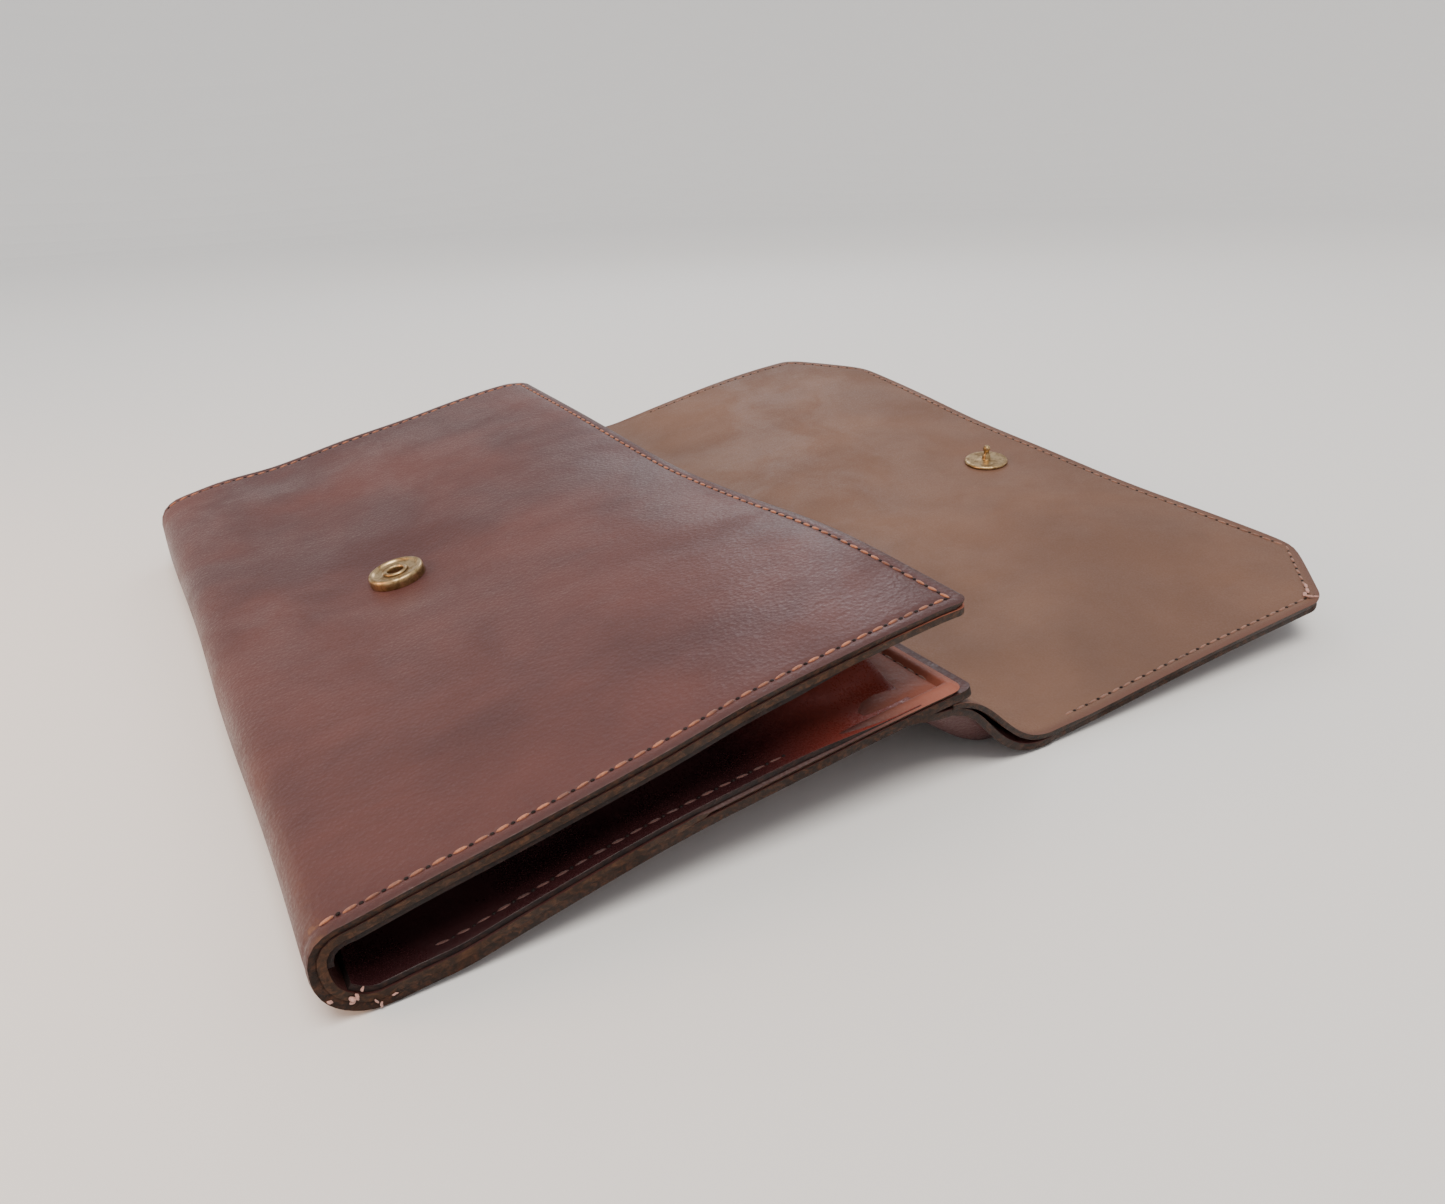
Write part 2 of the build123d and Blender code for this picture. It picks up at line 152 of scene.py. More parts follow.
def body_at(x, along, depth=0.0):
    if along < 0:
        normal = (sin(BACK_SLOPE), -cos(BACK_SLOPE))
        run, way = -along, (cos(BACK_SLOPE), sin(BACK_SLOPE))
    elif along <= FOLD_ARC:
        angle = BACK_SLOPE - pi / 2 - along / FOLD_RADIUS
        normal, run, way = (cos(angle), sin(angle)), 0.0, (0.0, 0.0)
    else:
        normal = (-sin(FRONT_SLOPE), cos(FRONT_SLOPE))
        run, way = along - FOLD_ARC, (cos(FRONT_SLOPE), sin(FRONT_SLOPE))
    out = FOLD_RADIUS + body_swell(x, along) - depth
    return Vector((x, FOLD_Y + out * normal[0] + run * way[0], FOLD_Z + out * normal[1] + run * way[1]))


print("front's mouth edge, middle:", tuple(round(c, 1) for c in body_at(0, FOLD_ARC + FRONT_LENGTH)))

# %% [markdown]
# ## Cutting leather
#
# A sheet starts as a flat grid. Its columns are closer together at the sides, where the corners are
# rounded and the seam presses a groove, and each crossing is moved to its place on the bent shape.
# Then the grid gets its thickness, and its rim is rounded a little as an edge-burnishing tool does.
# The distance to the nearest cut edge, or for the pouch lining and the gussets the distance from the
# mouth, is kept with each point, so the finish can change there: darker where the outer leather is
# burnished, and painted light near the mouth inside the case.

# %% Grid, thickness and rounded rim
def spread(last, fine, step):
    """Marks from 0 to `last`, close together at the fine end, which is given first."""
    coarse = fine[-1]
    count = max(round((last - coarse) / step), 1)
    return fine + [coarse + (last - coarse) * (i + 1) / count for i in range(count)]


EDGE_STEPS = [0.0, 0.12, 0.35, 0.7, 1.2, 1.6, 1.95, 2.25, 2.55, 2.85, 3.3, 4.0, 5.2, 6.6]
half_columns = [HALF_WIDTH - d for d in spread(HALF_WIDTH, EDGE_STEPS, 2.0)]
COLUMNS = sorted({round(side * x, 4) for x in half_columns for side in (-1, 1)})


def seam_press(distance):
    """How far the leather lies below its own swell, this far from a sewn edge."""
    groove = 0.26 * exp(-(((distance - SEAM) / 0.6) ** 2))
    return groove + 0.2 * max(1 - distance / 1.2, 0) ** 2


def make_piece(name, made, *finishes):
    """Turns a bmesh into a smooth-shaded object with these finishes."""
    mesh = bpy.data.meshes.new(name)
    made.to_mesh(mesh)
    made.free()
    mesh.polygons.foreach_set("use_smooth", [True] * len(mesh.polygons))
    for finish in finishes:
        mesh.materials.append(finish)
    piece = bpy.data.objects.new(name, mesh)
    bpy.context.scene.collection.objects.link(piece)
    return piece


def bent_grid(name, columns, rows, place, edge):
    grid = bmesh.new()
    across, up = len(columns) - 1, len(rows) - 1
    bmesh.ops.create_grid(grid, x_segments=across, y_segments=up, size=0.5)
    edges = grid.verts.layers.float.new("edge")
    for vert in grid.verts:
        column = columns[round((vert.co.x + 0.5) * across)]
        row = rows[round((vert.co.y + 0.5) * up)]
        vert[edges] = edge(column, row)
        vert.co = place(column, row) * MM
    return make_piece(name, grid)


def thicken(piece, thick, face, rim, side=-1.0, round_off=0.3, even=True):
    """Thickness on one side of the sheet, with `face` on its two faces and `rim` on its cut edge."""
    piece.data.materials.append(face)
    piece.data.materials.append(rim)
    shell = piece.modifiers.new("thickness", "SOLIDIFY")
    shell.thickness, shell.offset = thick * MM, side
    shell.use_even_offset = even
    shell.material_offset_rim = 1
    rounding = piece.modifiers.new("rounded rim", "BEVEL")
    rounding.width, rounding.segments = round_off * MM, 2
    rounding.limit_method, rounding.angle_limit = "ANGLE", radians(55)
    return piece


print(len(COLUMNS), "columns across the case")

# %% [markdown]
# ## Finishes
#
# The outer leather is a waxed, pulled-up hide: dark mahogany with redder clouds where it was handled,
# small pores, and a polish that breaks into sparkles at low angles. The linings are smoother. The
# pouch lining and the gussets have painted light in their colour, lighter and redder near the mouth,
# and painted shade, nearly black, deeper in. The needle holes are near-black painted shade. Cut edges
# are burnished nearly black with paler fibres where they wore through.

# %% Node helpers
def start_paint(name):
    material = bpy.data.materials.new(name)
    material.use_nodes = True
    tree = material.node_tree
    return material, tree, tree.nodes["Principled BSDF"]


def node(tree, kind, inputs=(), **settings):
    made = tree.nodes.new(kind)
    for key, value in settings.items():
        setattr(made, key, value)
    for key, value in dict(inputs).items():
        if isinstance(value, bpy.types.NodeSocket):
            tree.links.new(value, made.inputs[key])
        else:
            made.inputs[key].default_value = value
    return made


def noise(tree, scale, detail=3.0, roughness=0.55, distortion=0.0, stretch=(1, 1, 1)):
    place = node(tree, "ShaderNodeTexCoord").outputs["Object"]
    spot = node(tree, "ShaderNodeMapping", {"Vector": place, "Scale": stretch}).outputs["Vector"]
    inputs = {"Vector": spot, "Scale": scale, "Detail": detail}
    inputs.update({"Roughness": roughness, "Distortion": distortion})
    return node(tree, "ShaderNodeTexNoise", inputs).outputs["Fac"]


def cells(tree, scale):
    place = node(tree, "ShaderNodeTexCoord").outputs["Object"]
    return node(tree, "ShaderNodeTexVoronoi", {"Vector": place, "Scale": scale}).outputs["Distance"]


def between(tree, value, low, high, to_low=0.0, to_high=1.0):
    inputs = {"Value": value, "From Min": low, "From Max": high, "To Min": to_low, "To Max": to_high}
    return node(tree, "ShaderNodeMapRange", inputs, interpolation_type="SMOOTHSTEP").outputs["Result"]


def blend_colours(tree, share, first, second):
    made = node(tree, "ShaderNodeMix", data_type="RGBA")
    for socket, value in ((made.inputs[0], share), (made.inputs[6], first), (made.inputs[7], second)):
        if isinstance(value, bpy.types.NodeSocket):
            tree.links.new(value, socket)
        else:
            socket.default_value = value
    return made.outputs[2]


def bump(tree, height, strength, depth_mm, under=None):
    inputs = {"Height": height, "Strength": strength, "Distance": depth_mm * MM}
    if under is not None:
        inputs["Normal"] = under
    return node(tree, "ShaderNodeBump", inputs).outputs["Normal"]


def colour(red, green, blue):
    return (red, green, blue, 1.0)


# %% Leather, cut edge, thread and metal finishes
def leather(name, deep, warm, edge_wear_and_light_tone, polish, pore_depth, cloud_size=26, edge_reach=2.0):
    material, tree, surface = start_paint(name)
    clouds = between(tree, noise(tree, cloud_size, 4, 0.55, 0.4), 0.34, 0.68)
    streaks = noise(tree, 60, 5, 0.62, 0.8, stretch=(1.0, 0.35, 1.0))
    specks = noise(tree, 900, 3, 0.7)
    base = blend_colours(tree, clouds, deep, warm)
    base = blend_colours(tree, between(tree, streaks, 0.4, 0.75, 0.0, 0.45), base, deep)
    base = blend_colours(tree, between(tree, specks, 0.55, 0.8, 0.0, 0.35), base, warm)
    # The edge tone near the edge is real burnish on the outer leather and the flap lining, and painted light
    # near the mouth on the pouch lining and the gussets.
    edge = node(tree, "ShaderNodeAttribute", attribute_name="edge").outputs["Fac"]
    wear_and_light_share = between(tree, edge, 0.1 * edge_reach, edge_reach, 0.75, 0.0)
    base = blend_colours(tree, wear_and_light_share, base, edge_wear_and_light_tone)
    tree.links.new(base, surface.inputs["Base Color"])
    patchy = noise(tree, 42, 4, 0.6, 0.6)
    fine = noise(tree, 2600, 2, 0.6)
    gloss = between(tree, patchy, 0.35, 0.7, polish - 0.07, polish + 0.13)
    rough = node(tree, "ShaderNodeMath", operation="ADD")
    tree.links.new(gloss, rough.inputs[0])
    tree.links.new(between(tree, fine, 0.3, 0.7, -0.12, 0.08), rough.inputs[1])
    tree.links.new(rough.outputs[0], surface.inputs["Roughness"])
    surface.inputs["Specular IOR Level"].default_value = 0.4
    pores = bump(tree, cells(tree, 1150), 0.55, pore_depth)
    grain = bump(tree, noise(tree, 1900, 3, 0.7), 0.5, pore_depth * 0.8, pores)
    creases = bump(tree, noise(tree, 130, 5, 0.6, 1.2, stretch=(1.0, 0.5, 1.0)), 0.35, 0.5, grain)
    tree.links.new(creases, surface.inputs["Normal"])
    return material


def cut_edge(name, burnished, fibre, share):
    material, tree, surface = start_paint(name)
    fibres = noise(tree, 950, 5, 0.75, 0.5, stretch=(0.8, 0.8, 1.3))
    patches = noise(tree, 75, 4, 0.6, 0.8)
    base = blend_colours(tree, between(tree, fibres, 0.42, 0.7, 0.0, 0.75), burnished, fibre)
    base = blend_colours(tree, between(tree, patches, share, share + 0.2, 0.0, 0.8), base, fibre)
    tree.links.new(base, surface.inputs["Base Color"])
    tree.links.new(between(tree, patches, 0.35, 0.7, 0.5, 0.85), surface.inputs["Roughness"])
    surface.inputs["Specular IOR Level"].default_value = 0.25
    rough = bump(tree, fibres, 0.8, 0.18)
    tree.links.new(bump(tree, noise(tree, 260, 3, 0.6), 0.6, 0.3, rough), surface.inputs["Normal"])
    return material


def waxed_thread(name, tan, dirt):
    material, tree, surface = start_paint(name)
    wear = between(tree, noise(tree, 160, 4, 0.6), 0.42, 0.72)
    strands = noise(tree, 3200, 2, 0.6)
    base = blend_colours(tree, wear, tan, dirt)
    base = blend_colours(tree, between(tree, strands, 0.35, 0.7, 0.0, 0.5), base, dirt)
    tree.links.new(base, surface.inputs["Base Color"])
    surface.inputs["Roughness"].default_value = 0.55
    surface.inputs["Sheen Weight"].default_value = 0.3
    tree.links.new(bump(tree, strands, 0.7, 0.12), surface.inputs["Normal"])
    return material


def metal(name, bright, dull, polish):
    material, tree, surface = start_paint(name)
    tarnish = between(tree, noise(tree, 420, 5, 0.65, 0.6), 0.36, 0.68)
    base = blend_colours(tree, tarnish, bright, dull)
    tree.links.new(base, surface.inputs["Base Color"])
    surface.inputs["Metallic"].default_value = 1.0
    tree.links.new(between(tree, tarnish, 0.0, 1.0, polish, polish + 0.25), surface.inputs["Roughness"])
    scratches = noise(tree, 2400, 3, 0.7, 0.3, stretch=(1.0, 0.25, 1.0))
    tree.links.new(bump(tree, scratches, 0.35, 0.05), surface.inputs["Normal"])
    return material


outer_leather = leather(
    "outer leather",
    deep=colour(0.058, 0.0215, 0.0215),
    warm=colour(0.094, 0.033, 0.029),
    edge_wear_and_light_tone=colour(0.045, 0.015, 0.014),
    polish=0.47,
    pore_depth=0.13,
)
# Painted light and shade: the edge tone is the lit orange within 22 mm of the mouth, and the deep and warm
# colours are painted shade, nearly black, deeper in.
lining_leather = leather(
    "pouch lining",
    deep=colour(0.018, 0.005, 0.005),
    warm=colour(0.045, 0.011, 0.009),
    edge_wear_and_light_tone=colour(0.34, 0.105, 0.065),
    polish=0.6,
    pore_depth=0.09,
    edge_reach=22.0,
)
flap_leather = leather(
    "flap lining",
    deep=colour(0.115, 0.058, 0.038),
    warm=colour(0.16, 0.082, 0.052),
    edge_wear_and_light_tone=colour(0.1, 0.04, 0.028),
    polish=0.6,
    pore_depth=0.025,
    cloud_size=18,
)
# Painted light and shade: near-black painted shade inside the case, turning lighter and redder as painted
# light within 34 mm of the gusset's mouth end.
gusset_leather = leather(
    "gusset leather",
    deep=colour(0.014, 0.005, 0.006),
    warm=colour(0.03, 0.009, 0.01),
    edge_wear_and_light_tone=colour(0.17, 0.028, 0.018),
    polish=0.33,
    pore_depth=0.04,
    edge_reach=34.0,
)
outer_rim = cut_edge("burnished edge", colour(0.012, 0.006, 0.004), colour(0.075, 0.028, 0.013), 0.6)
lining_rim = cut_edge("raw lining edge", colour(0.02, 0.01, 0.006), colour(0.095, 0.04, 0.019), 0.55)
gusset_rim = cut_edge("dark gusset edge", colour(0.008, 0.004, 0.004), colour(0.035, 0.014, 0.01), 0.66)
thread = waxed_thread("waxed thread", colour(0.42, 0.15, 0.07), colour(0.12, 0.04, 0.024))
dark_thread = waxed_thread("brown thread", colour(0.27, 0.12, 0.075), colour(0.1, 0.045, 0.03))
red_thread = waxed_thread("red brown thread", colour(0.1, 0.03, 0.022), colour(0.05, 0.014, 0.012))
pink_thread = waxed_thread("faded thread", colour(0.5, 0.27, 0.22), colour(0.2, 0.08, 0.06))
# Painted shade: the needle hole finish is near-black, standing in for the shade inside each hole.
needle_hole_shade = cut_edge("needle hole", colour(0.008, 0.004, 0.004), colour(0.02, 0.01, 0.008), 0.8)
brass = metal("antique brass", colour(0.56, 0.4, 0.21), colour(0.2, 0.125, 0.055), 0.3)
steel = metal("pressed steel", colour(0.55, 0.55, 0.56), colour(0.3, 0.3, 0.31), 0.35)
print(len(bpy.data.materials), "finishes")

# %% [markdown]
# ## The body's outer leather
#
# On the real case the back, the fold and the front are one piece, so it is one grid here too.

# %% Back, fold and front in one piece
CORNER = 2.2
ROW_STEP, FOLD_ROWS = 2.2, 16
SHORT_STEPS = [0.0, 0.3, 0.7, 1.2, 1.6, 1.95, 2.25, 2.55, 2.85, 3.3, 4.0, 5.2, 6.8]


def rounded(x, radius):
    over = max(abs(x) - (HALF_WIDTH - radius), 0.0)
    return radius - sqrt(max(radius**2 - over**2, 0.0))


def body_rows(length):
    panel = [d / length for d in spread(length, SHORT_STEPS, ROW_STEP)]
    back = [share - 1 for share in panel]
    fold = [(i + 1) / FOLD_ROWS for i in range(FOLD_ROWS)]
    front = [1 + share for share in sorted(1 - share for share in panel)][1:]
    return back + fold + front


def run_along(x, s, back, front):
    """The row mark `s` is -1 at the back's mouth edge, 0 to 1 in the fold, 2 at the front's edge."""
    if s < 0:
        return s * (back - rounded(x, CORNER))
    if s <= 1:
        return s * FOLD_ARC
    return FOLD_ARC + (s - 1) * (front - rounded(x, CORNER))


def body_edge(x, s, back, front):
    along = run_along(x, s, back, front)
    end = along - run_along(x, -1, back, front) if s < 0.5 else run_along(x, 2, back, front) - along
    return min(HALF_WIDTH - abs(x), end)


def outer_place(x, s):
    press = seam_press(body_edge(x, s, BACK_LENGTH, FRONT_LENGTH))
    if s < 0:
        press = 0.4 * press
    return body_at(x, run_along(x, s, BACK_LENGTH, FRONT_LENGTH), press)


body_skin = bent_grid(
    "outer_leather_body",
    COLUMNS,
    body_rows(FRONT_LENGTH),
    outer_place,
    lambda x, s: body_edge(x, s, BACK_LENGTH, FRONT_LENGTH),
)
thicken(body_skin, OUTER, outer_leather, outer_rim)
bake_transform(body_skin)
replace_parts(body_skin, "back_panel", "front_panel")
print("body leather:", len(body_skin.data.polygons), "faces before its thickness")

# %% [markdown]
# ## The pouch lining
#
# A thinner leather is glued inside and ends a little short of the mouth. At the sides its raw brown
# edge shows below the dark outer layer, and at the back's mouth it ends in a soft stitched nose. Its
# colour has painted light and painted shade: orange where daylight reaches it at the mouth, and
# nearly black deeper in.

# %% Lining inside the back, the fold and the front
BACK_LINING, FRONT_LINING = 98.8, 101.2
UNDER_OUTER = OUTER + 0.03
LINING_WIDTH = 0.9985
NOSE_SEAM = 3.2


def lining_edge(x, s):
    return body_edge(x, s, BACK_LINING, FRONT_LINING)


def lining_place(x, s):
    end = lining_edge(x, s)
    depth = UNDER_OUTER + LINING
    groove = 0.55 * exp(-(((end - NOSE_SEAM) / 0.55) ** 2)) + 0.5 * max(1 - end / 1.9, 0) ** 2
    if s > -0.5 or HALF_WIDTH - abs(x) < end:
        groove = 0.0
    swollen = 0.5 * exp(-(((end - 1.9) / 1.0) ** 2)) if s < -0.5 and groove else 0.0
    return body_at(x * LINING_WIDTH, run_along(x, s, BACK_LINING, FRONT_LINING), depth - groove + swollen)


def from_mouth(x, s):
    along = run_along(x, s, BACK_LINING, FRONT_LINING)
    return along + BACK_LINING if s < 0.5 else FOLD_ARC + FRONT_LINING - along


pouch_lining = bent_grid("pouch_lining", COLUMNS, body_rows(FRONT_LINING), lining_place, from_mouth)
thicken(pouch_lining, LINING, lining_leather, lining_rim, side=1.0, round_off=0.35)
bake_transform(pouch_lining)
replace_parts(pouch_lining, "back_lining", "front_lining")
print("pouch lining:", len(pouch_lining.data.polygons), "faces before its thickness")

# %% [markdown]
# ## The gussets
#
# Each side is closed by a strip that is sewn flat inside the front and the back and folds inward
# between them. A row of points is drawn across the strip, flange to flange, for each place along the
# pouch. Leather folded like this creases, so the fold wanders and small slanting creases cross it.
# Towards the mouth the flanges sink into the lining, which is left smooth there. The strip's colour is
# painted shade, nearly black, deep inside the case, and painted light, lighter and redder, towards the mouth.

# %% Folded side gussets
GUSSET_MARKS = [0.0, 0.13, 0.24, 0.36, 0.5, 0.64, 0.76, 0.87, 1.0]
GUSSET_STEPS = [i / 30 for i in range(31)]
GUSSET_START, GUSSET_END, GUSSET = -7.0, 90.0, 0.95
SINK_START, SINK_LENGTH, SINK_DEPTH = 66.0, 20.0, 1.15
INSIDE = UNDER_OUTER + LINING + 0.05 + GUSSET


def gusset_place(side, share, v):
    """Share runs from the front's flange to the back's; v runs from the bottom fold to the mouth."""
    toward_mouth = v / 100
    waist = 81.0 - 2.5 * sin(pi * toward_mouth) + 1.3 * sin(v / 5.3 + side)
    xs = [99.5, 95.5, 91.2, 86.5, waist, 86.5 - 1.2 * sin(v / 7.1), 91.0, 95.5, 99.5]
    x = smooth(GUSSET_MARKS, xs, share)
    inside = INSIDE - SINK_DEPTH * ease((v - SINK_START) / SINK_LENGTH)
    top = body_at(side * x, FOLD_ARC + v, inside)
    low = body_at(side * x, -v, inside)
    lean = smooth(GUSSET_MARKS, [0, 0, 0.04, 0.26, 0.5, 0.74, 0.95, 1, 1], share)
    point = top.lerp(low, lean)
    slack = sin(pi * share) ** 2 * ease((v - GUSSET_START) / 16)
    point.x += side * slack * (0.55 * sin(v / 2.9 + 7 * share) + 0.35 * sin(v / 1.9 - 11 * share))
    point.z += slack * 0.5 * sin(v / 4.3 + 5 * share)
    return point


gusset_rows = [GUSSET_START + (GUSSET_END - GUSSET_START) * i / 80 for i in range(81)]
for side_name, side in (("right_gusset", 1), ("left_gusset", -1)):
    gusset = bent_grid(
        side_name + "_leather",
        GUSSET_STEPS,
        gusset_rows,
        lambda share, v: gusset_place(side, share, v),
        lambda share, v: GUSSET_END - v,
    )
    thicken(gusset, GUSSET, gusset_leather, gusset_rim, side=-side, round_off=0.25, even=False)
    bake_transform(gusset)
    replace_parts(gusset, side_name)
print("two gussets, folded in to x =", round(gusset_place(1, 0.5, 50).x, 1))

# %% [markdown]
# ## The flap's plane
#
# The open flap is a flat sheet that lies twisted: its right side near the table, its left side high.
# `flap_at` gives a point on its lining, `w` mm before the free edge (negative is towards the hinge),
# and its own swell lets the free edge sag and the left side rise.

# %% Flap surface
FLAP_MIDDLE = Vector((0, 110.36, 20.54))
FLAP_ACROSS = Vector((0.9967, 0.0081, -0.0812))
FLAP_ALONG = Vector((0, cos(radians(5.7)), sin(radians(5.7))))
FLAP_UP = FLAP_ACROSS.cross(FLAP_ALONG).normalized()
FLAP_CUT, FLAP_THICK, FLAP_OUTER = 19.0, 2.4, 1.36
STUD_INSET, STUD_SAG = 19.4, 2.9
FLAP_X = [-100, -60, -20, 20, 60, 100]
FLAP_MARKS = [0, 8, 20, 35, 50, 68, 80, 90]
FLAP_SWELL = [
    [-2.6, -1.7, -0.1, 1.7, 2.6, 2.4, 1.6, 0.5],
    [-1.9, -0.9, 0.3, 1.0, 0.9, 0.1, -0.3, -0.8],
    [-1.0, -0.5, -0.2, -0.3, -0.8, -1.7, -2.2, -2.8],
    [-0.5, -0.3, -0.4, -0.6, -1.1, -2.2, -2.8, -3.5],
    [-0.3, -0.2, -0.4, -0.5, -0.8, -1.5, -2.0, -2.6],
    [-0.2, -0.2, -0.3, -0.4, -0.5, -0.6, -0.9, -1.3],
]


def crease_place(x):
    return 89.5 + 0.051 * x


def flap_at(x, w, depth=0.0):
    v = w + crease_place(x)
    near_stud = ease((hypot(x, w + STUD_INSET) - 6.5) / 14)
    wobble = 0.18 * sin(x / 21 + v / 12) + 0.12 * sin(x / 9 - v / 17)
    height = mix(-STUD_SAG, swell(FLAP_X, FLAP_MARKS, FLAP_SWELL, x, v) + wobble * ease(v / 10), near_stud)
    return FLAP_MIDDLE + x / FLAP_ACROSS.x * FLAP_ACROSS + w * FLAP_ALONG + (height - depth) * FLAP_UP


def flap_end(x):
    """How far before the free edge's line the leather ends: the cut corners, a little rounded."""
    past = abs(x) - (HALF_WIDTH - FLAP_CUT)
    slanted = (past + sqrt(past**2 + 10)) / 2
    return slanted + rounded(x, 3.0)


def flap_edge(x, w):
    slope = (flap_end(abs(x) + 0.01) - flap_end(abs(x) - 0.01)) / 0.02
    slope = min(abs(slope), 1.2)
    return min(HALF_WIDTH - abs(x), (-flap_end(x) - w) / sqrt(1 + slope**2))


print("flap's right side is", round(crease_place(100) - flap_end(100), 1), "mm long")

# %% [markdown]
# ## The hinge
#
# Two layers leave the back's mouth: the flap's lining dips under the lining's nose and runs down in
# an S to the flap, and the slack outer leather leaves the back earlier, bellies down to the table and
# comes up to join it. Both are drawn as smooth curves, column by column. The hinge has two joints,
# and each layer is cut along a line between them: the first stretch runs from the back to that line,
# the second from that line to the flap.

# %% Hinge curves
SPLIT_Y = 5.0


def bezier(points, t):
    a, b, c, d = points
    return (1 - t) ** 3 * a + 3 * (1 - t) ** 2 * t * b + 3 * (1 - t) * t**2 * c + t**3 * d


def towards(angle):
    return Vector((0, cos(radians(angle)), sin(radians(angle))))


def crease_way(x):
    w = -crease_place(x)
    return (flap_at(x, w + 1.0) - flap_at(x, w)).normalized()


def hinge_lining_at(x, t):
    left = (HALF_WIDTH - x) / (2 * HALF_WIDTH)
    start = body_at(x, -96.0, -0.12)
    end = flap_at(x, -crease_place(x))
    leave = start + mix(10.5, 10.0, left) * towards(mix(0.0, 6.0, left))
    return bezier((start, leave, end - mix(11.5, 10.0, left) * crease_way(x), end), t)


def belly_at(x, t):
    """The outer face of the slack leather: down to its lowest line while t is under 1, then up."""
    left = (HALF_WIDTH - x) / (2 * HALF_WIDTH)
    lift = 8.5 * ease((-20 - x) / 80)
    start = body_at(x, -85.5, -0.04)
    lowest = Vector((x, mix(8.6, 3.6, left), 0.12 + lift + 0.25 * (1 - cos(x / 19))))
    if t <= 1:
        points = (start, start + 9 * towards(mix(-8, -4, left)), lowest - 9 * towards(0), lowest)
        return bezier(points, t)
    end = flap_at(x, -crease_place(x), FLAP_THICK + 0.03)
    return bezier((lowest, lowest + 5 * towards(0), end - mix(5, 8, left) * crease_way(x), end), t - 1)


def sewn_layer_at(x, t):
    """The same leather's outer face at the side edges, where it is sewn close under the lining."""
    share = t / 2
    if share < 0.3:
        part = share / 0.3
        return body_at(x, -85.5 - 10.5 * part, -0.04 - 2.1 * ease(part))
    part = (share - 0.3) / 0.7
    drop = mix(2.2, FLAP_THICK + 0.03, part) + 0.9 * sin(pi * part)
    return hinge_lining_at(x, part) + Vector((0, -0.5 * drop * sin(pi * part) - 0.1 * part * drop, -drop))


def hinge_outer_at(x, t):
    return belly_at(x, t).lerp(sewn_layer_at(x, t), ease((abs(x) - 92.5) / 7))


def split_mark(curve, x, last):
    low, high = 0.0, last
    for _ in range(30):
        middle = (low + high) / 2
        low, high = (middle, high) if curve(x, middle).y < SPLIT_Y else (low, middle)
    return low


lining_split = {x: split_mark(hinge_lining_at, x, 1.0) for x in COLUMNS}
belly_split = {x: split_mark(hinge_outer_at, x, 2.0) for x in COLUMNS}
print("lining crosses the split at height", round(hinge_lining_at(0, split_mark(hinge_lining_at, 0, 1)).z, 1))

# %% First stretch, from the back to the middle of the hinge
SHORT_ROWS = [i / 20 for i in range(21)] + [1.015, 1.05]
OUTER_WIDTH = 0.9985


def side_edge(x, share):
    return HALF_WIDTH - abs(x)


def first_stretch(curve, splits, x, share, away):
    """Up to the split, then a short tongue that is tucked into the second stretch."""
    if share <= 1:
        return curve(x, share * splits[x])
    return curve(x, splits[x] + share - 1) + Vector((0, 0, away * ease((share - 1) / 0.015)))


def narrower(place, x, row):
    point = place(x, row)
    point.x *= OUTER_WIDTH
    return point


hinge_lining = bent_grid(
    "hinge_lining_leather",
    COLUMNS,
    SHORT_ROWS,
    lambda x, share: first_stretch(hinge_lining_at, lining_split, x, share, -0.06),
    side_edge,
)
thicken(hinge_lining, 1.0, flap_leather, outer_rim)
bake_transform(hinge_lining)
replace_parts(hinge_lining, "hinge_lining")



def hinge_outer_place(x, share):
    return first_stretch(hinge_outer_at, belly_split, x, share, 0.06)


hinge_belly = bent_grid(
    "outer_leather_hinge",
    COLUMNS,
    SHORT_ROWS,
    lambda x, share: narrower(hinge_outer_place, x, share),
    side_edge,
)
thicken(hinge_belly, FLAP_OUTER, outer_leather, outer_rim, side=1.0)
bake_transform(hinge_belly)
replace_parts(hinge_belly, "hinge_panel")
print("first stretch of the hinge: lining and outer leather")

# %% [markdown]
# ## The flap
#
# The second stretch carries on from the hinge's middle through the crease to the free edge. Its rows
# are close together in the bend and near the seam, and its two free corners are cut off.

# %% Second stretch and flap, lining and outer leather
flap_rows = [i / 18 for i in range(18)]
flap_rows += [1 + share for share in sorted(1 - d / 90 for d in spread(90.0, SHORT_STEPS, 2.0))]


def flap_w(x, row):
    start = -crease_place(x)
    return start + (row - 1) * (-flap_end(x) - start)


def flap_lining_place(x, row):
    if row < 1:
        return hinge_lining_at(x, mix(lining_split[x], 1.0, row))
    w = flap_w(x, row)
    press = seam_press(flap_edge(x, w)) * ease((w + crease_place(x)) / 9)
    return flap_at(x, w, 0.7 * press)


def flap_outer_place(x, row):
    if row < 1:
        return hinge_outer_at(x, mix(belly_split[x], 2.0, row))
    w = flap_w(x, row)
    press = seam_press(flap_edge(x, w)) * ease((w + crease_place(x)) / 9)
    return flap_at(x, w, FLAP_THICK + 0.03 - press)


def flap_rim_distance(x, row):
    return HALF_WIDTH - abs(x) if row < 1 else flap_edge(x, flap_w(x, row))


flap_lining = bent_grid("flap_lining_leather", COLUMNS, flap_rows, flap_lining_place, flap_rim_distance)
thicken(flap_lining, 1.0, flap_leather, outer_rim)
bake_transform(flap_lining)
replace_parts(flap_lining, "flap_lining")

flap_skin = bent_grid(
    "outer_leather_flap",
    COLUMNS,
    flap_rows,
    lambda x, row: narrower(flap_outer_place, x, row),
    flap_rim_distance,
)
thicken(flap_skin, FLAP_OUTER, outer_leather, outer_rim, side=1.0)
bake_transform(flap_skin)
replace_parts(flap_skin, "flap_panel")
print("flap:", len(flap_skin.data.polygons), "faces in each layer before its thickness")

# %% [markdown]
# ## Stitches
#
# The seams have a stitch about every 3 mm. Each is a small rounded lozenge that lies in its groove and
# dives into a needle hole at each end; the hole is a flat near-black lozenge of painted shade on the
# leather. A path is drawn on the leather and the stitches are set along it at even steps, each leaning
# a little as hand-pulled thread does.

# %% Setting stitches along a path
PITCH = 3.0


